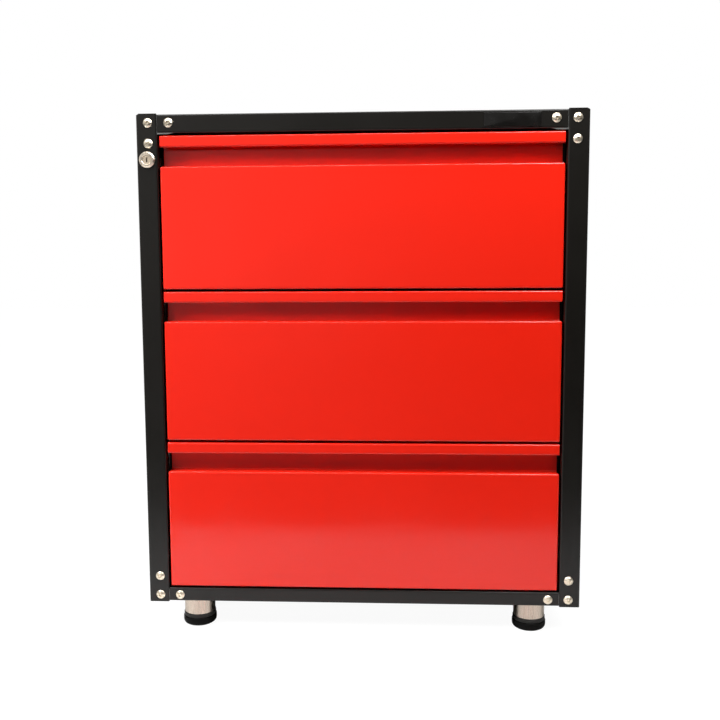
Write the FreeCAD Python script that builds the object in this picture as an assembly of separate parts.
"""Floor cabinet with three pull-out drawers, a central lock and four adjustable feet.

Millimetres. X runs across the width, Y from the front (low) to the back (high), Z up from the floor.
The origin is on the floor, under the middle of the cabinet. Every separate piece is its own solid.
"""

import FreeCAD, Part
import math
import os

Vector = FreeCAD.Vector
OUT = "parts"

# ---- Driving dimensions -------------------------------------------------------------------------

# Carcass
WIDTH = 680.0
DEPTH = 460.0
FRAME_HEIGHT = 762.0
LEG_HEIGHT = 42.0  # floor to the frame's lower edge, with the feet screwed in
SHEET = 1.2
BEND = 1.5  # inner radius of every fold in the carcass
UPRIGHT_WIDTH = 32.0
UPRIGHT_RETURN = 12.0
SIDE_FLANGE = 20.0
TOP_RAIL = 27.8
BOTTOM_RAIL = 21.8
RAIL_RETURN = 14.0
SEAM = 0.2  # slit left between two sheets that meet edge to edge
RELIEF = 4.0  # corner notch that lets three folds meet
RELIEF_DROP = 2.0
BACK_SHEET = 1.0
BACK_MARGIN = 1.5  # edge of the back sheet to the edge of the cabinet
POST_DEPTH = 40.0
POST_SETBACK = 40.0  # front of the cabinet to the front slide posts
POST_INSET = 5.0  # back end of the slides to the back face of the rear posts
POST_FOOT = 10.0
SLOT_WIDTH = 5.0
SLOT_HEIGHT = 18.0
SLOTS_PER_DRAWER = 4

# Corner gussets, and the screws that hold the carcass
GUSSET_SHEET = 2.0
GUSSET_REACH = 62.0  # along the rail, from the cabinet's side
GUSSET_DROP = 52.0  # along the upright, from the cabinet's top or bottom
GUSSET_SHOWING = 1.6  # the top gussets hang this far below the top rail
GUSSET_TAPER = 14.0
GUSSET_MARGIN = 2.0  # a gusset's edge to the sheets around it
SCREW_SIDE = 17.8  # cabinet's side to the upright's screws
SCREW_PITCH_X = 31.4
SCREW_TOP = 13.8  # cabinet's top to the first screws
SCREW_BOTTOM = 11.4
SCREW_PITCH_Z = 30.6
SCREW_SHANK = 6.0
SCREW_HEAD = 14.0
SCREW_HEAD_HEIGHT = 3.4
SCREW_LENGTH = 9.0
SCREW_SOCKET = 2.3  # depth of the head's hexagonal recess
SCREW_SOCKET_WIDTH = 5.0
SMALL_SHANK = 4.0
SMALL_HEAD = 7.6
SMALL_HEAD_HEIGHT = 1.2
SMALL_LENGTH = 6.0
HOLE_CLEARANCE = 0.2  # radial, round a screw's shank
BACK_SCREW_ROWS = 4
BACK_SCREW_COLUMNS = 3
BACK_SCREW_INSET = 10.0
WORKTOP_HOLE = 6.6  # four holes in the top panel, for a worktop's screws
WORKTOP_HOLE_SPREAD_X = 560.0
WORKTOP_HOLE_SPREAD_Y = 360.0

# Drawers
DRAWER_COUNT = 3
SIDE_GAP = 3.3
TOP_GAP = 4.0
DRAWER_GAP = 4.0
BOTTOM_GAP = 3.0
FRONT_SHEET = 1.0
FRONT_BEND = 1.5
LIP_HEIGHT = 16.8
LIP_RETURN = 7.0
LIP_END_INSET = 0.5
PULL_HEIGHT = 29.2
PULL_DEPTH = 22.0
FRONT_SIDE_RETURN = 19.0
FRONT_UPTURN = 30.0
BOX_SHEET = 0.8
BOX_BEND = 0.8
BOX_DEPTH = 404.0
BOX_HEIGHT = 188.0
BOX_RAISE = 14.0  # drawer front's lower edge to the box's underside
HEM_HEIGHT = 8.0  # rolled top edge of the box's walls
HEM_WIDTH = 3.4
END_FLANGE = 5.0  # end wall's flange, welded to the tray's side
FRONT_SCREW_COUNT = 4
FRONT_SCREW_SPREAD = 480.0
FRONT_SCREW_RAISE = 22.0  # drawer front's lower edge to its screws

# Telescopic slides
SLIDE_LENGTH = 400.0
SLIDE_HEIGHT = 45.0
SLIDE_WIDTH = 12.7
SLIDE_SHEET = 1.2
SLIDE_BEND = 0.8
SLIDE_LIP = 2.2
SLIDE_RAISE = 62.0  # drawer front's lower edge to the middle of the slide
SLIDE_INSET = 3.0  # box's front to the slide's front
OUTER_REACH = 11.4  # post to the outer member's lips
MIDDLE_BACK = 3.1  # post to the middle member's web
MIDDLE_REACH = 10.6  # post to the middle member's lips
INNER_REACH = 7.6  # box to the inner member's lips
BALL_SPACE = 2.8  # between two members, where the balls run
BALL_DIAMETER = 2.4
CAGE_SHEET = 0.6
CAGE_WIDTH = 4.0
CAGE_LENGTH = 120.0
CAGE_END = 8.0  # end of the middle member to the cage
RIVET_SHANK = 3.2
RIVET_HEAD = 6.4
RIVET_HEAD_HEIGHT = 0.9
RIVET_INSET = 60.0  # ends of the slide and box to the rivets that join them

# Central lock
LOCK_SIDE = 16.0  # cabinet's side to the lock's axis
LOCK_TOP = 68.6  # cabinet's top to the lock's axis
BEZEL_DIAMETER = 24.0
BEZEL_HEIGHT = 4.2
BEZEL_EDGE = 2.0
BEZEL_RING = 15.6
BEZEL_STEP = 1.0
BARREL_DIAMETER = 18.6
BARREL_LENGTH = 21.0
PLUG_DIAMETER = 12.4
PLUG_CLEARANCE = 0.05
PLUG_SINK = 1.4  # bezel's face to the plug's face
KEYWAY_WIDTH = 1.8
KEYWAY_HEIGHT = 7.4
KEYWAY_DEPTH = 12.0
NUT_FLATS = 24.0
NUT_HEIGHT = 4.0
TAIL_SIDE = 6.0
TAIL_CLEARANCE = 0.1
CAM_SHEET = 2.0
CAM_HUB = 6.0
CAM_TIP = 4.5
CAM_GAP = 0.6  # barrel's end to the cam
CRANK_RADIUS = 11.0
CRANK_PIN = 4.0
CRANK_SLACK = 0.6  # bar's slot round the crank pin
CRANK_STAND = 0.4  # crank pin's end past the bar
LOCK_TURN = 90.0
CAM_SCREW_HEAD = 7.0
CAM_SCREW_HEAD_HEIGHT = 2.0
CAM_SCREW_SHANK = 3.0
CAM_SCREW_LENGTH = 8.0
BAR_WIDTH = 12.0
BAR_SHEET = 2.0
BAR_GAP = 0.6  # cam screw's head to the bar
BAR_TOP_MARGIN = 14.0
BAR_TAIL = 50.0
TAB_HEIGHT = 12.0
TAB_SHEET = 2.0
TAB_LAP = 11.0  # length of a tab that is welded to the bar
TAB_GAP = 4.9  # tab's tip to the drawer box
CATCH_SHEET = 2.0
CATCH_BEND = 1.0
CATCH_HEIGHT = 10.0
CATCH_GAP = 0.6  # locked tab to the catch
CATCH_RAISE = 140.0  # drawer front's lower edge to the middle of the catch
CATCH_FOOT = 16.0
CATCH_REACH = 11.0
GUIDE_HEIGHT = 12.0
GUIDE_WALL = 2.4
GUIDE_MOUTH = 7.0
GUIDE_CLEARANCE = 0.3
GUIDE_DROP = 40.0  # locked tab's middle to the middle of the guide below it

# Legs and feet
LEG_SIDE = 74.5  # cabinet's side to a leg's axis
LEG_SETBACK = 27.0  # cabinet's front or back to a leg's axis
LEG_DIAMETER = 48.6
LEG_WALL = 1.5
LEG_END = 5.0
LEG_PLATE_WIDTH = 82.0
LEG_PLATE_DEPTH = 44.0
LEG_PLATE_SHEET = 2.0
BOLT_SHANK = 10.0
BOLT_LENGTH = 7.8
BOLT_FLATS = 16.0
BOLT_HEAD_HEIGHT = 6.4
COLLAR_DIAMETER = 50.6
COLLAR_HEIGHT = 6.3
COLLAR_CHAMFER = 0.8
PAD_DIAMETER = 52.6
PAD_HEIGHT = 13.3
PAD_ROUND = 6.5
PAD_ROUND_STEPS = 4
PAD_EDGE = 1.0
FOOT_GAP = 0.3
STUD_DIAMETER = 10.0
STUD_LENGTH = 16.0
STUD_CLEARANCE = 0.05
HUB_DIAMETER = 14.0
HUB_HEIGHT = 4.6

# ---- Places worked out from the sizes -----------------------------------------------------------

HALF_WIDTH = WIDTH / 2
FRONT_Y = -DEPTH / 2
BACK_Y = DEPTH / 2
BACK_INNER = BACK_Y - BACK_SHEET
FRAME_BOTTOM = LEG_HEIGHT
FRAME_TOP = LEG_HEIGHT + FRAME_HEIGHT
FOLD = BEND + SHEET  # outer radius of a carcass fold
TOP_PLATE = FRAME_TOP - SHEET  # upper face of the top panel, under the side panels' flanges
BOTTOM_PLATE = FRAME_BOTTOM + SHEET  # lower face of the bottom panel
OPENING_HALF = HALF_WIDTH - UPRIGHT_WIDTH
OPENING_TOP = TOP_PLATE - TOP_RAIL
OPENING_BOTTOM = BOTTOM_PLATE + BOTTOM_RAIL
RAIL_HALF = OPENING_HALF - SEAM
INSIDE_HALF = HALF_WIDTH - SHEET
RETURN_TOP = OPENING_TOP - GUSSET_SHOWING - GUSSET_MARGIN  # ends of the uprights' returns
RETURN_BOTTOM = OPENING_BOTTOM
GUSSET_TIP = HALF_WIDTH - GUSSET_REACH

FRONT_HALF = OPENING_HALF - SIDE_GAP
FRONTS_SPACE = OPENING_TOP - OPENING_BOTTOM - TOP_GAP - BOTTOM_GAP
FRONT_HEIGHT = (FRONTS_SPACE - (DRAWER_COUNT - 1) * DRAWER_GAP) / DRAWER_COUNT
DRAWER_PITCH = FRONT_HEIGHT + DRAWER_GAP
PANEL_HEIGHT = FRONT_HEIGHT - LIP_HEIGHT - PULL_HEIGHT
FRONT_FOLD = FRONT_BEND + FRONT_SHEET
PULL_Y = FRONT_Y + PULL_DEPTH  # back face of the pull, where the box is fixed

BOX_BACK = PULL_Y + BOX_DEPTH
POST_FACE = OPENING_HALF - SEAM  # face of a post, level with the upright's edge
POST_FRONT = FRONT_Y + POST_SETBACK
BOX_HALF = POST_FACE - SLIDE_WIDTH
SLIDE_FRONT = PULL_Y + SLIDE_INSET
SLIDE_BACK = SLIDE_FRONT + SLIDE_LENGTH
RIVET_YS = [SLIDE_FRONT + RIVET_INSET, min(SLIDE_BACK, BOX_BACK) - RIVET_INSET]
MIDDLE_HEIGHT = SLIDE_HEIGHT - 2 * SLIDE_SHEET - 2 * BALL_SPACE
INNER_HEIGHT = MIDDLE_HEIGHT - 2 * SLIDE_SHEET - 2 * BALL_SPACE
REAR_POST_BACK = SLIDE_BACK - POST_INSET
POST_MIDDLES = [POST_FRONT + POST_DEPTH / 2, REAR_POST_BACK - POST_DEPTH / 2]

LOCK_X = -HALF_WIDTH + LOCK_SIDE
LOCK_Z = FRAME_TOP - LOCK_TOP
BARREL_BACK = FRONT_Y + BARREL_LENGTH
CAM_FRONT = BARREL_BACK + CAM_GAP
CAM_BACK = CAM_FRONT + CAM_SHEET
BAR_FRONT = CAM_BACK + CAM_SCREW_HEAD_HEIGHT + BAR_GAP
BAR_BACK = BAR_FRONT + BAR_SHEET
TAB_BACK = BAR_BACK + TAB_SHEET
CATCH_FRONT = TAB_BACK + CATCH_GAP
HALF_TURN = math.radians(LOCK_TURN / 2)
CRANK_NEAR = CRANK_RADIUS * math.cos(HALF_TURN)  # least sideways distance of the crank pin
CRANK_DROP = CRANK_RADIUS * math.sin(HALF_TURN)
BAR_LIFT = 2 * CRANK_DROP
BAR_LEFT = LOCK_X + (CRANK_NEAR + CRANK_RADIUS) / 2 - BAR_WIDTH / 2
BAR_RIGHT = BAR_LEFT + BAR_WIDTH

COLLAR_BOTTOM = PAD_HEIGHT + FOOT_GAP
COLLAR_TOP = COLLAR_BOTTOM + COLLAR_HEIGHT
TUBE_BOTTOM = COLLAR_TOP + FOOT_GAP
LEG_X = HALF_WIDTH - LEG_SIDE
LEG_Y = FRONT_Y + LEG_SETBACK


def drawer_bottom(number):
    """Lower edge of a drawer's front; number 1 is the top drawer."""
    return OPENING_TOP - TOP_GAP - FRONT_HEIGHT - (number - 1) * DRAWER_PITCH


def drawers():
    return range(1, DRAWER_COUNT + 1)


# ---- Shape helpers ------------------------------------------------------------------------------


def block(x0, x1, y0, y1, z0, z1):
    """A box between two corners."""
    return Part.makeBox(x1 - x0, y1 - y0, z1 - z0, Vector(x0, y0, z0))


def mirrored(shape):
    """The same piece on the cabinet's other side."""
    return shape.mirror(Vector(0, 0, 0), Vector(1, 0, 0))


def back_to_front(shape):
    """The same piece at the cabinet's other end."""
    return shape.mirror(Vector(0, 0, 0), Vector(0, 1, 0))


def both_sides(shape):
    return [shape, mirrored(shape)]


def shift_corner(before, corner, after, distance):
    """Where a path's corner goes when both its edges move to their left by a distance."""
    a = (corner - before).normalize()
    b = (after - corner).normalize()
    left = Vector(-a.y - b.y, a.x + b.x, 0)
    return corner + left * (distance / (1 + a.dot(b)))


def rounded_run(points, radii):
    """Straight edges through flat points, with an arc of its own radius at each inner point."""
    edges = []
    start = points[0]
    for before, corner, after, radius in zip(points, points[1:], points[2:], radii):
        a = (before - corner).normalize()
        b = (after - corner).normalize()
        half_angle = a.getAngle(b) / 2
        cut = radius / math.tan(half_angle)
        bulge = radius / math.sin(half_angle) - radius
        enter = corner + a * cut
        leave = corner + b * cut
        edges.append(Part.LineSegment(start, enter).toShape())
        edges.append(Part.Arc(enter, corner + (a + b).normalize() * bulge, leave).toShape())
        start = leave
    edges.append(Part.LineSegment(start, points[-1]).toShape())
    return edges


def folded(path, thickness, bend):
    """Flat section of a folded sheet. The sheet lies on the left of the path."""
    near = [Vector(u, v, 0) for u, v in path]
    ends = [near[0] * 2 - near[1]] + near + [near[-1] * 2 - near[-2]]
    corners = list(zip(ends, ends[1:], ends[2:]))
    far = [shift_corner(*corner, thickness) for corner in corners]
    near_radii = []
    far_radii = []
    for before, corner, after in corners[1:-1]:
        turns_left = (corner - before).cross(after - corner).z > 0
        near_radii.append(bend + thickness if turns_left else bend)
        far_radii.append(bend if turns_left else bend + thickness)
    edges = rounded_run(near, near_radii)
    edges.append(Part.LineSegment(near[-1], far[-1]).toShape())
    edges += rounded_run(far[::-1], far_radii[::-1])
    edges.append(Part.LineSegment(far[0], near[0]).toShape())
    return Part.Face(Part.Wire(edges))


def outline(points):
    """Flat face with straight edges."""
    corners = [Vector(u, v, 0) for u, v in points]
    return Part.Face(Part.makePolygon(corners + corners[:1]))


def along_x(face, x0, x1):
    """A section drawn in (Y, Z), run from x0 to x1."""
    face = face.copy()
    face.rotate(Vector(0, 0, 0), Vector(1, 1, 1), 120)
    face.translate(Vector(x0, 0, 0))
    return face.extrude(Vector(x1 - x0, 0, 0))


def along_y(face, y0, y1):
    """A section drawn in (X, Z), run from y0 to y1."""
    face = face.copy()
    face.rotate(Vector(0, 0, 0), Vector(1, 0, 0), 90)
    face.translate(Vector(0, y0, 0))
    return face.extrude(Vector(0, y1 - y0, 0))


def along_z(face, z0, z1):
    """A section drawn in (X, Y), run from z0 to z1."""
    face = face.copy()
    face.translate(Vector(0, 0, z0))
    return face.extrude(Vector(0, 0, z1 - z0))


def joined(shapes):
    return shapes[0].fuse(shapes[1:]).removeSplitter()


def rod(radius, start, length, direction):
    return Part.makeCylinder(radius, length, start, direction)


def hole_y(diameter, x, y, z):
    """Cutter for a screw hole from front to back, through any sheet near y."""
    reach = 2 * SHEET
    return rod(diameter / 2 + HOLE_CLEARANCE, Vector(x, y - reach, z), 2 * reach, Vector(0, 1, 0))


def hole_x(diameter, x, y, z):
    """Cutter for a hole from side to side, through any sheet near x."""
    reach = 2 * SHEET
    return rod(diameter / 2 + HOLE_CLEARANCE, Vector(x - reach, y, z), 2 * reach, Vector(1, 0, 0))


def turned(profile, base, axis):
    """A revolved solid from a closed outline of (radius, height) points."""
    corners = [Vector(radius, 0, height) for radius, height in profile]
    face = Part.Face(Part.makePolygon(corners + corners[:1]))
    solid = face.revolve(Vector(0, 0, 0), Vector(0, 0, 1), 360)
    solid.Placement = FreeCAD.Placement(base, FreeCAD.Rotation(Vector(0, 0, 1), axis))
    return solid


def hexagon(flats, height):
    """Hexagonal prism on the origin, with two flats facing along X."""
    radius = flats / math.sqrt(3)
    turns = [math.radians(30 + 60 * side) for side in range(6)]
    return along_z(outline([(radius * math.cos(t), radius * math.sin(t)) for t in turns]), 0, height)


def placed(shape, seat, axis):
    shape.Placement = FreeCAD.Placement(seat, FreeCAD.Rotation(Vector(0, 0, 1), axis))
    return shape


def pan_screw(shank, head, head_height, length):
    """Domed screw with its head's seat on the origin and its head upwards."""
    dome = ((head / 2) ** 2 + head_height**2) / (2 * head_height)
    crown = Part.makeSphere(dome, Vector(0, 0, head_height - dome))
    crown = crown.common(Part.makeCylinder(head / 2, head_height))
    return crown.fuse(rod(shank / 2, Vector(0, 0, 0), length, Vector(0, 0, -1)))


def frame_screw(seat, axis):
    """Carcass screw with a hexagonal recess in its head."""
    body = pan_screw(SCREW_SHANK, SCREW_HEAD, SCREW_HEAD_HEIGHT, SCREW_LENGTH)
    recess = hexagon(SCREW_SOCKET_WIDTH, SCREW_SOCKET)
    recess.translate(Vector(0, 0, SCREW_HEAD_HEIGHT - SCREW_SOCKET))
    return placed(body.cut(recess), seat, axis)


def small_screw(seat, axis):
    return placed(pan_screw(SMALL_SHANK, SMALL_HEAD, SMALL_HEAD_HEIGHT, SMALL_LENGTH), seat, axis)


def compound(solids):
    return Part.makeCompound(solids)


# ---- Carcass ------------------------------------------------------------------------------------


def corner_screws():
    """Places (X, Z) of the carcass screws of the front's left half."""
    places = []
    for z, step in [(FRAME_TOP - SCREW_TOP, -1), (FRAME_BOTTOM + SCREW_BOTTOM, 1)]:
        x = -HALF_WIDTH + SCREW_SIDE
        places += [(x, z), (x + SCREW_PITCH_X, z), (x, z + step * SCREW_PITCH_Z)]
    return places


def back_screws():
    """Places (X, Z) of the back sheet's screws, in rows up its sides and along its top and bottom."""
    side = HALF_WIDTH - BACK_SCREW_INSET
    low = BOTTOM_PLATE + BACK_SCREW_INSET
    high = TOP_PLATE - BACK_SCREW_INSET
    places = []
    for row in range(BACK_SCREW_ROWS):
        z = low + SIDE_FLANGE + row * (high - low - 2 * SIDE_FLANGE) / (BACK_SCREW_ROWS - 1)
        places += [(-side, z), (side, z)]
    for column in range(BACK_SCREW_COLUMNS):
        x = (2 * column / (BACK_SCREW_COLUMNS - 1) - 1) * (side - UPRIGHT_WIDTH)
        places += [(x, low), (x, high)]
    return places


def front_holes():
    half = [hole_y(SCREW_SHANK, x, FRONT_Y, z) for x, z in corner_screws()]
    return half + [mirrored(hole) for hole in half]


def back_holes():
    return [hole_y(SMALL_SHANK, x, BACK_Y, z) for x, z in back_screws()]


def side_wall():
    """Left side without its holes: wall, upright, back flange, and flanges above and below."""
    across = [
        (-HALF_WIDTH + SIDE_FLANGE, BACK_INNER),
        (-HALF_WIDTH, BACK_INNER),
        (-HALF_WIDTH, FRONT_Y),
        (-OPENING_HALF, FRONT_Y),
        (-OPENING_HALF, FRONT_Y + UPRIGHT_RETURN),
    ]
    upward = [
        (-HALF_WIDTH + SIDE_FLANGE, FRAME_TOP),
        (-HALF_WIDTH, FRAME_TOP),
        (-HALF_WIDTH, FRAME_BOTTOM),
        (-HALF_WIDTH + SIDE_FLANGE, FRAME_BOTTOM),
    ]
    wall = along_z(folded(across, SHEET, BEND), FRAME_BOTTOM, FRAME_TOP)
    cuts = []
    for low, high in [(FRAME_BOTTOM, FRAME_BOTTOM + FOLD), (FRAME_TOP - FOLD, FRAME_TOP)]:
        cuts.append(block(-HALF_WIDTH, -INSIDE_HALF, FRONT_Y + FOLD, BACK_INNER - FOLD, low, high))
    inner = -OPENING_HALF - FOLD
    back = FRONT_Y + UPRIGHT_RETURN
    for low, high in [(FRAME_BOTTOM, RETURN_BOTTOM), (RETURN_TOP, FRAME_TOP)]:
        cuts.append(block(inner, -OPENING_HALF, FRONT_Y + SHEET, back, low, high))
    notch = FRAME_TOP - RELIEF_DROP
    cuts.append(block(-HALF_WIDTH, -HALF_WIDTH + RELIEF, FRONT_Y, FRONT_Y + RELIEF, notch, FRAME_TOP))
    flanges = along_y(folded(upward, SHEET, BEND), FRONT_Y + RELIEF, BACK_INNER - RELIEF)
    return joined([wall.cut(cuts), flanges]).cut(front_holes() + back_holes())


def top_panel():
    """Top sheet with the front rail and a back flange; its wings run under the sides' flanges."""
    path = [
        (BACK_INNER, TOP_PLATE - SIDE_FLANGE),
        (BACK_INNER, TOP_PLATE),
        (FRONT_Y, TOP_PLATE),
        (FRONT_Y, OPENING_TOP),
        (FRONT_Y + RAIL_RETURN, OPENING_TOP),
    ]
    sheet = along_x(folded(path, SHEET, BEND), -RAIL_HALF, RAIL_HALF)
    cleared = GUSSET_TIP - GUSSET_MARGIN
    gap = block(cleared, RAIL_HALF, FRONT_Y + SHEET, FRONT_Y + RAIL_RETURN, OPENING_TOP, OPENING_TOP + FOLD)
    wing = side_wing(TOP_PLATE - SHEET)
    sheet = joined([sheet] + both_sides(wing)).cut(both_sides(gap))
    return sheet.cut(front_holes() + back_holes() + worktop_holes())


def worktop_holes():
    half_x = WORKTOP_HOLE_SPREAD_X / 2
    half_y = WORKTOP_HOLE_SPREAD_Y / 2
    low = TOP_PLATE - SHEET
    return [rod(WORKTOP_HOLE / 2, Vector(x, y, low), SHEET, Vector(0, 0, 1))
            for x in (-half_x, half_x) for y in (-half_y, half_y)]


def side_wing(low):
    """Strip of a top or bottom sheet that reaches the right side's wall."""
    front = FRONT_Y + FOLD + SEAM
    back = BACK_INNER - FOLD - SEAM
    return block(RAIL_HALF - FOLD, INSIDE_HALF - BEND - SEAM, front, back, low, low + SHEET)


def bottom_panel():
    """Bottom sheet with the lower rail and a back flange."""
    path = [
        (FRONT_Y + RAIL_RETURN, OPENING_BOTTOM),
        (FRONT_Y, OPENING_BOTTOM),
        (FRONT_Y, BOTTOM_PLATE),
        (BACK_INNER, BOTTOM_PLATE),
        (BACK_INNER, BOTTOM_PLATE + SIDE_FLANGE),
    ]
    sheet = along_x(folded(path, SHEET, BEND), -RAIL_HALF, RAIL_HALF)
    sheet = joined([sheet] + both_sides(side_wing(BOTTOM_PLATE)))
    radius = BOLT_SHANK / 2 + HOLE_CLEARANCE
    bolts = [rod(radius, Vector(x, y, BOTTOM_PLATE), SHEET, Vector(0, 0, 1)) for x, y in leg_places()]
    return sheet.cut(front_holes() + back_holes() + bolts)


def rear_panel():
    side = HALF_WIDTH - BACK_MARGIN
    low = FRAME_BOTTOM + BACK_MARGIN
    high = FRAME_TOP - BACK_MARGIN
    return block(-side, side, BACK_INNER, BACK_Y, low, high).cut(back_holes())


def gusset(points):
    """Flat corner plate behind the front flanges, from its outline in (X, Z)."""
    start = FRONT_Y + SHEET
    plate = along_y(outline(points), start, start + GUSSET_SHEET)
    cutters = [rod(SCREW_SHANK / 2 + HOLE_CLEARANCE, Vector(x, FRONT_Y, z), SCREW_LENGTH, Vector(0, 1, 0))
               for x, z in corner_screws()]
    return plate.cut(cutters)


def corner_gussets():
    """Four plates that tie the rails to the uprights."""
    outer = -INSIDE_HALF + GUSSET_MARGIN
    arm = -OPENING_HALF - SHEET - GUSSET_MARGIN
    tip = -GUSSET_TIP
    top = TOP_PLATE - FOLD
    hang = OPENING_TOP - GUSSET_SHOWING
    upper = [
        (outer, top),
        (outer, FRAME_TOP - GUSSET_DROP),
        (arm, FRAME_TOP - GUSSET_DROP),
        (arm, hang),
        (tip - GUSSET_TAPER, hang),
        (tip, hang + 2 * GUSSET_SHOWING),
        (tip, top),
    ]
    bottom = BOTTOM_PLATE + FOLD
    under = OPENING_BOTTOM - FOLD
    lower = [
        (outer, bottom),
        (tip, bottom),
        (tip, under),
        (arm, under),
        (arm, FRAME_BOTTOM + GUSSET_DROP),
        (outer, FRAME_BOTTOM + GUSSET_DROP),
    ]
    return compound(both_sides(gusset(upper)) + both_sides(gusset(lower)))


def frame_screws():
    """Twelve screws, three in each corner of the front."""
    forward = Vector(0, -1, 0)
    left = [frame_screw(Vector(x, FRONT_Y, z), forward) for x, z in corner_screws()]
    return compound(left + [mirrored(screw) for screw in left])


def rear_screws():
    return compound([small_screw(Vector(x, BACK_Y, z), Vector(0, 1, 0)) for x, z in back_screws()])


def slot_places():
    """Heights of the slots in a post; every fourth one carries a slide."""
    lowest = drawer_bottom(DRAWER_COUNT) + SLIDE_RAISE
    return [lowest + step * DRAWER_PITCH / SLOTS_PER_DRAWER
            for step in range(DRAWER_COUNT * SLOTS_PER_DRAWER - 1)]


def slide_post():
    """Hat-shaped post at the front left, welded to the side's wall."""
    wall = -INSIDE_HALF + SHEET
    back = POST_FRONT + POST_DEPTH
    path = [
        (wall, POST_FRONT - POST_FOOT),
        (wall, POST_FRONT),
        (-POST_FACE, POST_FRONT),
        (-POST_FACE, back),
        (wall, back),
        (wall, back + POST_FOOT),
    ]
    post = along_z(folded(path, SHEET, BEND), BOTTOM_PLATE + SHEET, TOP_PLATE - SHEET)
    middle = POST_FRONT + POST_DEPTH / 2
    slots = [block(-POST_FACE - SHEET, -POST_FACE, middle - SLOT_WIDTH / 2, middle + SLOT_WIDTH / 2,
                   z - SLOT_HEIGHT / 2, z + SLOT_HEIGHT / 2) for z in slot_places()]
    return post.cut(slots)


def left_slide_posts():
    """Front and rear post of the left side."""
    front = slide_post()
    rear = back_to_front(front)
    rear.translate(Vector(0, REAR_POST_BACK + POST_FRONT, 0))
    return compound([front, rear])


# ---- Drawers ------------------------------------------------------------------------------------


def rounded_pan(half_width, y0, y1, z0, z1, radius):
    """A block with every edge rounded but those of its back face."""
    body = block(-half_width, half_width, y0, y1, z0, z1)
    edges = [edge for edge in body.Edges if edge.CenterOfMass.y < y1 - radius]
    return body.makeFillet(radius, edges)


def panel_pan(low, high):
    """Front panel with its four edges turned back."""
    back = FRONT_Y + FRONT_SIDE_RETURN
    outer = rounded_pan(FRONT_HALF, FRONT_Y, back, low, high, FRONT_FOLD)
    hollow = rounded_pan(FRONT_HALF - FRONT_SHEET, FRONT_Y + FRONT_SHEET, back,
                         low + FRONT_SHEET, high - FRONT_SHEET, FRONT_BEND)
    return outer.cut(hollow)


def drawer_front(number):
    """Folded front: lip, open-ended finger pull, panel with its edges turned back, and an upturn."""
    low = drawer_bottom(number)
    ledge = low + PANEL_HEIGHT
    lip = ledge + PULL_HEIGHT
    top = low + FRONT_HEIGHT
    lip_y = FRONT_Y + FRONT_SHEET
    back = FRONT_Y + FRONT_SIDE_RETURN
    pull_path = [
        (FRONT_Y + LIP_RETURN, lip + FRONT_SHEET),
        (lip_y, lip + FRONT_SHEET),
        (lip_y, top - FRONT_SHEET),
        (PULL_Y - FRONT_SHEET, top - FRONT_SHEET),
        (PULL_Y - FRONT_SHEET, ledge),
        (back - FRONT_FOLD, ledge),
    ]
    foot_path = [
        (back - FRONT_FOLD, low),
        (PULL_Y, low),
        (PULL_Y, low + FRONT_UPTURN),
    ]
    flat = FRONT_HALF - FRONT_FOLD
    end = FRONT_HALF - LIP_END_INSET
    pull = along_x(folded(pull_path, FRONT_SHEET, FRONT_BEND), -end, end)
    corner = block(flat, FRONT_HALF, back - FRONT_FOLD, back, ledge - FRONT_SHEET, ledge)
    foot = along_x(folded(foot_path, FRONT_SHEET, FRONT_BEND), -flat, flat)
    front = joined([panel_pan(low, ledge), pull.cut(both_sides(corner)), foot])
    return front.cut(front_screw_holes(number))


def front_screw_places():
    step = FRONT_SCREW_SPREAD / (FRONT_SCREW_COUNT - 1)
    return [column * step - FRONT_SCREW_SPREAD / 2 for column in range(FRONT_SCREW_COUNT)]


def front_screw_holes(number):
    z = drawer_bottom(number) + FRONT_SCREW_RAISE
    return [hole_y(SMALL_SHANK, x, PULL_Y, z) for x in front_screw_places()]


def rivet_places(number):
    """Places (Y, Z) of the rivets through an inner slide member and the box's side."""
    return [(y, drawer_bottom(number) + SLIDE_RAISE) for y in RIVET_YS]


def rivet_holes(number):
    return [hole_x(RIVET_SHANK, side * BOX_HALF, y, z)
            for side in (-1, 1) for y, z in rivet_places(number)]


def box_heights(number):
    """Underside and rim of a drawer's box."""
    low = drawer_bottom(number) + BOX_RAISE
    return low, low + BOX_HEIGHT


def drawer_tray(number):
    """Floor and sides of the box, folded from one sheet, with rolled upper edges."""
    low, top = box_heights(number)
    left = [
        (-BOX_HALF + HEM_WIDTH, top - HEM_HEIGHT),
        (-BOX_HALF + HEM_WIDTH, top),
        (-BOX_HALF, top),
        (-BOX_HALF, low),
    ]
    right = [(-x, z) for x, z in reversed(left)]
    tray = along_y(folded(left + right, BOX_SHEET, BOX_BEND), PULL_Y, BOX_BACK)
    return tray.cut(rivet_holes(number))


def box_end(number):
    """Front wall of the box, between the tray's sides: welded flanges and a rolled upper edge."""
    low, top = box_heights(number)
    side = BOX_HALF - BOX_SHEET
    across = [
        (-side, PULL_Y + END_FLANGE),
        (-side, PULL_Y),
        (side, PULL_Y),
        (side, PULL_Y + END_FLANGE),
    ]
    hem = [
        (PULL_Y + HEM_WIDTH, top - HEM_HEIGHT),
        (PULL_Y + HEM_WIDTH, top),
        (PULL_Y, top),
        (PULL_Y, low + BOX_SHEET),
    ]
    reach = BOX_HALF - HEM_WIDTH - SEAM
    clear = SEAM + BOX_SHEET + BOX_BEND
    wall = along_z(folded(across, BOX_SHEET, BOX_BEND), low + clear, top - HEM_HEIGHT - SEAM)
    return joined([wall, along_x(folded(hem, BOX_SHEET, BOX_BEND), -reach, reach)])


def box_ends(number):
    """Front and back wall of the box; the drawer's front is screwed to the first."""
    front_wall = box_end(number)
    back_wall = back_to_front(front_wall)
    back_wall.translate(Vector(0, PULL_Y + BOX_BACK, 0))
    return compound([front_wall.cut(front_screw_holes(number)), back_wall])


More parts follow.
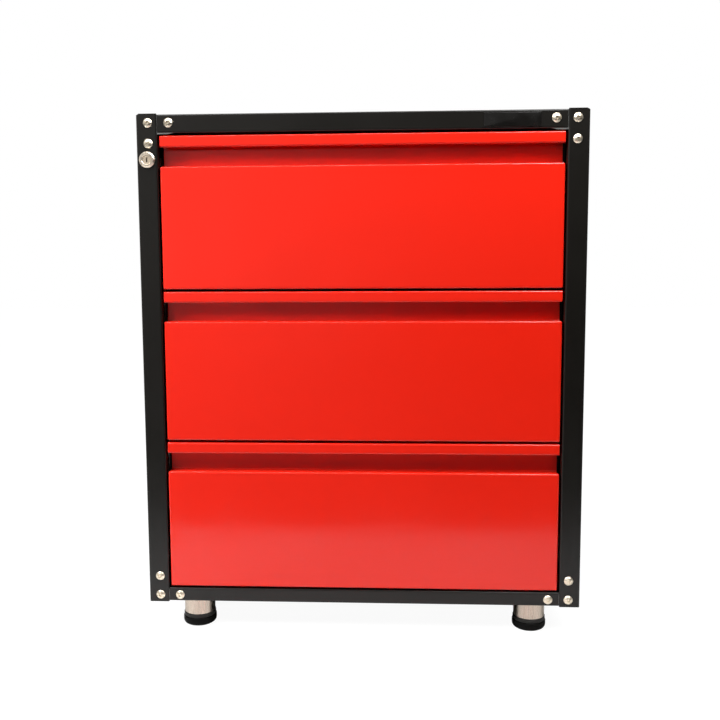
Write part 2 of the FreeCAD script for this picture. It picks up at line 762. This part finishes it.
def slide_section(web, lips, height, middle):
    """Section (X, Z) of a slide member that opens towards higher X."""
    low = middle - height / 2
    high = middle + height / 2
    path = [
        (lips, high - SLIDE_LIP),
        (lips, high),
        (web, high),
        (web, low),
        (lips, low),
        (lips, low + SLIDE_LIP),
    ]
    return folded(path, SLIDE_SHEET, SLIDE_BEND)


def outer_members(number):
    """Slide members fixed to the posts."""
    z = drawer_bottom(number) + SLIDE_RAISE
    section = slide_section(-POST_FACE, -POST_FACE + OUTER_REACH, SLIDE_HEIGHT, z)
    holes = [hole_x(SMALL_SHANK, -POST_FACE, y, z) for y in POST_MIDDLES]
    return compound(both_sides(along_y(section, SLIDE_FRONT, SLIDE_BACK).cut(holes)))


def middle_members(number):
    """Slide members that travel half as far as the drawer."""
    z = drawer_bottom(number) + SLIDE_RAISE
    web = -POST_FACE + MIDDLE_BACK
    section = slide_section(web, -POST_FACE + MIDDLE_REACH, MIDDLE_HEIGHT, z)
    return compound(both_sides(along_y(section, SLIDE_FRONT, SLIDE_BACK)))


def inner_members(number):
    """Slide members riveted to the drawer's box."""
    z = drawer_bottom(number) + SLIDE_RAISE
    section = slide_section(BOX_HALF, BOX_HALF + INNER_REACH, INNER_HEIGHT, z)
    bars = both_sides(along_y(section, SLIDE_FRONT, SLIDE_BACK))
    return compound([bar.cut(rivet_holes(number)) for bar in bars])


def ball_row(x, y, z):
    """Row of balls, drawn as one round bar, in its flat cage strip."""
    balls = rod(BALL_DIAMETER / 2, Vector(x, y, z), CAGE_LENGTH, Vector(0, 1, 0))
    half = CAGE_WIDTH / 2
    strip = block(x - half, x + half, y, y + CAGE_LENGTH, z - CAGE_SHEET / 2, z + CAGE_SHEET / 2)
    return joined([balls, strip])


def ball_cages(number):
    """Ball rows above and below the middle members: at their back outside, at their front inside."""
    z = drawer_bottom(number) + SLIDE_RAISE
    x = -POST_FACE + (MIDDLE_BACK + MIDDLE_REACH) / 2
    outer_z = (MIDDLE_HEIGHT + BALL_SPACE) / 2
    inner_z = (INNER_HEIGHT + BALL_SPACE) / 2
    rows = []
    for side in (-1, 1):
        rows.append(ball_row(x, SLIDE_BACK - CAGE_END - CAGE_LENGTH, z + side * outer_z))
        rows.append(ball_row(x, SLIDE_FRONT + CAGE_END, z + side * inner_z))
    return compound([piece for row in rows for piece in both_sides(row)])


def drawer_fasteners(number):
    """Screws that hold the front to the box, and rivets that hold the inner slide members."""
    z = drawer_bottom(number) + FRONT_SCREW_RAISE
    seat = PULL_Y + BOX_SHEET
    screws = [small_screw(Vector(x, seat, z), Vector(0, 1, 0)) for x in front_screw_places()]
    grip = SLIDE_SHEET + BOX_SHEET
    rivets = []
    for y, height in rivet_places(number):
        rivet = pan_screw(RIVET_SHANK, RIVET_HEAD, RIVET_HEAD_HEIGHT, grip)
        tail = rod(RIVET_HEAD / 2, Vector(0, 0, -grip), RIVET_HEAD_HEIGHT, Vector(0, 0, -1))
        place = Vector(-BOX_HALF - SLIDE_SHEET, y, height)
        rivets += both_sides(placed(joined([rivet, tail]), place, Vector(-1, 0, 0)))
    return compound(screws + rivets)


def slide_screws():
    """Screws that hold the outer slide members to the posts."""
    screws = []
    for number in drawers():
        z = drawer_bottom(number) + SLIDE_RAISE
        for y in POST_MIDDLES:
            seat = Vector(-POST_FACE + SLIDE_SHEET, y, z)
            screws += both_sides(small_screw(seat, Vector(1, 0, 0)))
    return compound(screws)


def catch_height(number):
    return drawer_bottom(number) + CATCH_RAISE


def drawer_catch(number):
    """Angle bracket on the box's left side that a locked tab stands in front of."""
    path = [
        (-BOX_HALF, CATCH_FRONT + CATCH_FOOT),
        (-BOX_HALF, CATCH_FRONT),
        (-BOX_HALF - CATCH_REACH, CATCH_FRONT),
    ]
    z = catch_height(number)
    section = folded(path[::-1], CATCH_SHEET, CATCH_BEND)
    return along_z(section, z - CATCH_HEIGHT / 2, z + CATCH_HEIGHT / 2)


# ---- Central lock -------------------------------------------------------------------------------


def lock_hole():
    return rod(BARREL_DIAMETER / 2 + HOLE_CLEARANCE, Vector(LOCK_X, FRONT_Y, LOCK_Z), SHEET, Vector(0, 1, 0))


def lock_housing():
    """Barrel with a stepped bezel that clamps the left upright from the front."""
    bore = PLUG_DIAMETER / 2 + PLUG_CLEARANCE
    face = BEZEL_HEIGHT - BEZEL_STEP
    profile = [
        (bore, -BARREL_LENGTH),
        (BARREL_DIAMETER / 2, -BARREL_LENGTH),
        (BARREL_DIAMETER / 2, 0),
        (BEZEL_DIAMETER / 2, 0),
        (BEZEL_DIAMETER / 2, BEZEL_HEIGHT - BEZEL_EDGE),
        (BEZEL_DIAMETER / 2 - BEZEL_EDGE, BEZEL_HEIGHT),
        (BEZEL_RING / 2, BEZEL_HEIGHT),
        (BEZEL_RING / 2 - BEZEL_STEP, face),
        (bore, face),
    ]
    return turned(profile, Vector(LOCK_X, FRONT_Y, LOCK_Z), Vector(0, -1, 0))


def lock_nut():
    """Hexagon nut behind the upright."""
    nut = hexagon(NUT_FLATS, NUT_HEIGHT)
    nut = nut.cut(Part.makeCylinder(BARREL_DIAMETER / 2, NUT_HEIGHT))
    return placed(nut, Vector(LOCK_X, FRONT_Y + SHEET + NUT_HEIGHT, LOCK_Z), Vector(0, -1, 0))


def square_prism(side, y0, y1):
    half = side / 2
    return block(LOCK_X - half, LOCK_X + half, y0, y1, LOCK_Z - half, LOCK_Z + half)


def lock_plug():
    """Turning core with its keyway, and the square tail that drives the cam."""
    face = FRONT_Y - BEZEL_HEIGHT + PLUG_SINK
    core = rod(PLUG_DIAMETER / 2, Vector(LOCK_X, face, LOCK_Z), BARREL_BACK - face, Vector(0, 1, 0))
    tail = square_prism(TAIL_SIDE, BARREL_BACK, CAM_BACK)
    keyway = block(LOCK_X - KEYWAY_WIDTH / 2, LOCK_X + KEYWAY_WIDTH / 2, face, face + KEYWAY_DEPTH,
                   LOCK_Z - KEYWAY_HEIGHT / 2, LOCK_Z + KEYWAY_HEIGHT / 2)
    thread = rod(CAM_SCREW_SHANK / 2, Vector(LOCK_X, CAM_BACK, LOCK_Z), CAM_SCREW_LENGTH, Vector(0, -1, 0))
    return joined([core, tail]).cut([keyway, thread])


def lock_cam():
    """Crank plate on the plug's tail; its pin, low while unlocked, works in the bar's slot."""
    hub = rod(CAM_HUB, Vector(0, CAM_FRONT, 0), CAM_SHEET, Vector(0, 1, 0))
    tip = rod(CAM_TIP, Vector(CRANK_RADIUS, CAM_FRONT, 0), CAM_SHEET, Vector(0, 1, 0))
    lean = math.asin((CAM_HUB - CAM_TIP) / CRANK_RADIUS)
    up = (math.sin(lean), math.cos(lean))
    flanks = [
        (CAM_HUB * up[0], CAM_HUB * up[1]),
        (CRANK_RADIUS + CAM_TIP * up[0], CAM_TIP * up[1]),
        (CRANK_RADIUS + CAM_TIP * up[0], -CAM_TIP * up[1]),
        (CAM_HUB * up[0], -CAM_HUB * up[1]),
    ]
    web = along_y(outline(flanks), CAM_FRONT, CAM_BACK)
    reach = BAR_BACK + CRANK_STAND - CAM_FRONT
    pin = rod(CRANK_PIN / 2, Vector(CRANK_RADIUS, CAM_FRONT, 0), reach, Vector(0, 1, 0))
    cam = joined([hub, tip, web, pin])
    cam.rotate(Vector(0, 0, 0), Vector(0, 1, 0), LOCK_TURN / 2)
    cam.translate(Vector(LOCK_X, 0, LOCK_Z))
    return cam.cut(square_prism(TAIL_SIDE + 2 * TAIL_CLEARANCE, CAM_FRONT, CAM_BACK))


def cam_screw():
    screw = pan_screw(CAM_SCREW_SHANK, CAM_SCREW_HEAD, CAM_SCREW_HEAD_HEIGHT, CAM_SCREW_LENGTH)
    return placed(screw, Vector(LOCK_X, CAM_BACK, LOCK_Z), Vector(0, 1, 0))


def lock_bar():
    """Flat bar behind the left upright, drawn unlocked, with a level slot for the crank pin."""
    pin_z = LOCK_Z - CRANK_DROP
    low = catch_height(DRAWER_COUNT) - BAR_LIFT - BAR_TAIL
    strip = block(BAR_LEFT, BAR_RIGHT, BAR_FRONT, BAR_BACK, low, pin_z + BAR_TOP_MARGIN)
    radius = CRANK_PIN / 2 + CRANK_SLACK
    near = LOCK_X + CRANK_NEAR
    far = LOCK_X + CRANK_RADIUS
    slot = [rod(radius, Vector(x, BAR_FRONT, pin_z), BAR_SHEET, Vector(0, 1, 0)) for x in (near, far)]
    slot.append(block(near, far, BAR_FRONT, BAR_BACK, pin_z - radius, pin_z + radius))
    return strip.cut(slot)


def lock_bar_tabs():
    """Tabs welded to the bar's back, drawn unlocked, one below each drawer's catch."""
    tabs = []
    for number in drawers():
        z = catch_height(number) - BAR_LIFT
        tabs.append(block(BAR_RIGHT - TAB_LAP, -BOX_HALF - TAB_GAP, BAR_BACK, TAB_BACK,
                          z - TAB_HEIGHT / 2, z + TAB_HEIGHT / 2))
    return compound(tabs)


def lock_bar_guides():
    """Clips on the front left post that the bar slides in, one below each tab."""
    room = GUIDE_CLEARANCE
    left = BAR_LEFT - room - GUIDE_WALL
    right = BAR_RIGHT + room + GUIDE_WALL
    front = BAR_FRONT - room - GUIDE_WALL
    middle = (BAR_LEFT + BAR_RIGHT) / 2
    clips = []
    for number in drawers():
        low = catch_height(number) - GUIDE_DROP - GUIDE_HEIGHT / 2
        high = low + GUIDE_HEIGHT
        body = block(left, right, front, POST_FRONT, low, high)
        channel = block(BAR_LEFT - room, BAR_RIGHT + room, BAR_FRONT - room, BAR_BACK + room, low, high)
        mouth = block(middle - GUIDE_MOUTH / 2, middle + GUIDE_MOUTH / 2, front, BAR_FRONT, low, high)
        clips.append(body.cut([channel, mouth]))
    return compound(clips)


# ---- Legs and feet ------------------------------------------------------------------------------


def leg_places():
    return [(x, y) for x in (-LEG_X, LEG_X) for y in (LEG_Y, -LEG_Y)]


def leg(x, y):
    """Steel tube with a threaded end at its foot and one for its bolt at the top."""
    height = BOTTOM_PLATE - TUBE_BOTTOM
    outer = LEG_DIAMETER / 2
    bore = STUD_DIAMETER / 2 + STUD_CLEARANCE
    profile = [
        (bore, 0),
        (outer, 0),
        (outer, height),
        (BOLT_SHANK / 2, height),
        (BOLT_SHANK / 2, height - LEG_END),
        (outer - LEG_WALL, height - LEG_END),
        (outer - LEG_WALL, LEG_END),
        (bore, LEG_END),
    ]
    return turned(profile, Vector(x, y, TUBE_BOTTOM), Vector(0, 0, 1))


def leg_plates():
    """Stiffening plates inside the cabinet, over the legs."""
    low = BOTTOM_PLATE + SHEET
    plates = []
    for x, y in leg_places():
        half_x = LEG_PLATE_WIDTH / 2
        half_y = LEG_PLATE_DEPTH / 2
        plate = block(x - half_x, x + half_x, y - half_y, y + half_y, low, low + LEG_PLATE_SHEET)
        bore = rod(BOLT_SHANK / 2 + HOLE_CLEARANCE, Vector(x, y, low), LEG_PLATE_SHEET, Vector(0, 0, 1))
        plates.append(plate.cut(bore))
    return compound(plates)


def leg_bolts():
    """Hexagon bolts from inside the cabinet, through the plates, into the legs."""
    seat = BOTTOM_PLATE + SHEET + LEG_PLATE_SHEET
    bolts = []
    for x, y in leg_places():
        head = hexagon(BOLT_FLATS, BOLT_HEAD_HEIGHT)
        shank = rod(BOLT_SHANK / 2, Vector(0, 0, 0), BOLT_LENGTH, Vector(0, 0, -1))
        bolts.append(placed(head.fuse(shank), Vector(x, y, seat), Vector(0, 0, 1)))
    return compound(bolts)


def foot_collar(x, y):
    """Ring that is turned by hand, with the threaded stud above and a swivel hub below."""
    hub = HUB_DIAMETER / 2
    rim = COLLAR_DIAMETER / 2
    stud = STUD_DIAMETER / 2
    tip = COLLAR_TOP + STUD_LENGTH
    hub_bottom = COLLAR_BOTTOM - HUB_HEIGHT
    profile = [
        (0, hub_bottom),
        (hub, hub_bottom),
        (hub, COLLAR_BOTTOM),
        (rim - COLLAR_CHAMFER, COLLAR_BOTTOM),
        (rim, COLLAR_BOTTOM + COLLAR_CHAMFER),
        (rim, COLLAR_TOP - COLLAR_CHAMFER),
        (rim - COLLAR_CHAMFER, COLLAR_TOP),
        (stud, COLLAR_TOP),
        (stud, tip - COLLAR_CHAMFER),
        (stud - COLLAR_CHAMFER, tip),
        (0, tip),
    ]
    return turned(profile, Vector(x, y, 0), Vector(0, 0, 1))


def foot_pad(x, y):
    """Rounded pad that stands on the floor and carries the collar's hub in its socket."""
    rim = PAD_DIAMETER / 2
    socket = HUB_DIAMETER / 2 + FOOT_GAP
    socket_floor = COLLAR_BOTTOM - HUB_HEIGHT - FOOT_GAP
    turns = [math.pi / 2 * step / PAD_ROUND_STEPS for step in range(PAD_ROUND_STEPS + 1)]
    rounding = [(rim - PAD_ROUND * (1 - math.sin(t)), PAD_ROUND * (1 - math.cos(t))) for t in turns]
    profile = [(0, 0)] + rounding + [
        (rim, PAD_HEIGHT - PAD_EDGE),
        (rim - PAD_EDGE, PAD_HEIGHT),
        (socket, PAD_HEIGHT),
        (socket, socket_floor),
        (0, socket_floor),
    ]
    return turned(profile, Vector(x, y, 0), Vector(0, 0, 1))


# ---- Pieces -------------------------------------------------------------------------------------


def carcass_pieces():
    side = side_wall()
    posts = left_slide_posts()
    return {
        "side_panel_left": side.cut(lock_hole()),
        "side_panel_right": mirrored(side),
        "top_panel": top_panel(),
        "bottom_panel": bottom_panel(),
        "rear_panel": rear_panel(),
        "corner_gussets": corner_gussets(),
        "frame_screws": frame_screws(),
        "rear_screws": rear_screws(),
        "slide_posts_left": posts,
        "slide_posts_right": mirrored(posts),
        "slide_screws": slide_screws(),
    }


def lock_pieces():
    return {
        "lock_housing": lock_housing(),
        "lock_nut": lock_nut(),
        "lock_plug": lock_plug(),
        "lock_cam": lock_cam(),
        "lock_cam_screw": cam_screw(),
        "lock_bar": lock_bar(),
        "lock_bar_tabs": lock_bar_tabs(),
        "lock_bar_guides": lock_bar_guides(),
    }


def foot_pieces():
    pieces = {"leg_plates": leg_plates(), "leg_bolts": leg_bolts()}
    names = ["front_left", "rear_left", "front_right", "rear_right"]
    for name, (x, y) in zip(names, leg_places()):
        pieces["leg_" + name] = leg(x, y)
        pieces["foot_collar_" + name] = foot_collar(x, y)
        pieces["foot_pad_" + name] = foot_pad(x, y)
    return pieces


def drawer_pieces(number):
    name = f"drawer_{number}_"
    return {
        name + "front": drawer_front(number),
        name + "tray": drawer_tray(number),
        name + "box_ends": box_ends(number),
        name + "outer_slides": outer_members(number),
        name + "middle_slides": middle_members(number),
        name + "inner_slides": inner_members(number),
        name + "ball_cages": ball_cages(number),
        name + "fasteners": drawer_fasteners(number),
        name + "catch": drawer_catch(number),
    }


def main():
    pieces = {**carcass_pieces(), **lock_pieces(), **foot_pieces()}
    for number in drawers():
        pieces.update(drawer_pieces(number))
    os.makedirs(OUT, exist_ok=True)
    for name, shape in pieces.items():
        shape.exportStep(f"{OUT}/{name}.step")
        solids = len(shape.Solids)
        print(f"{name}: {solids} solids, valid {shape.isValid()}, volume {shape.Volume:.0f}")


main()
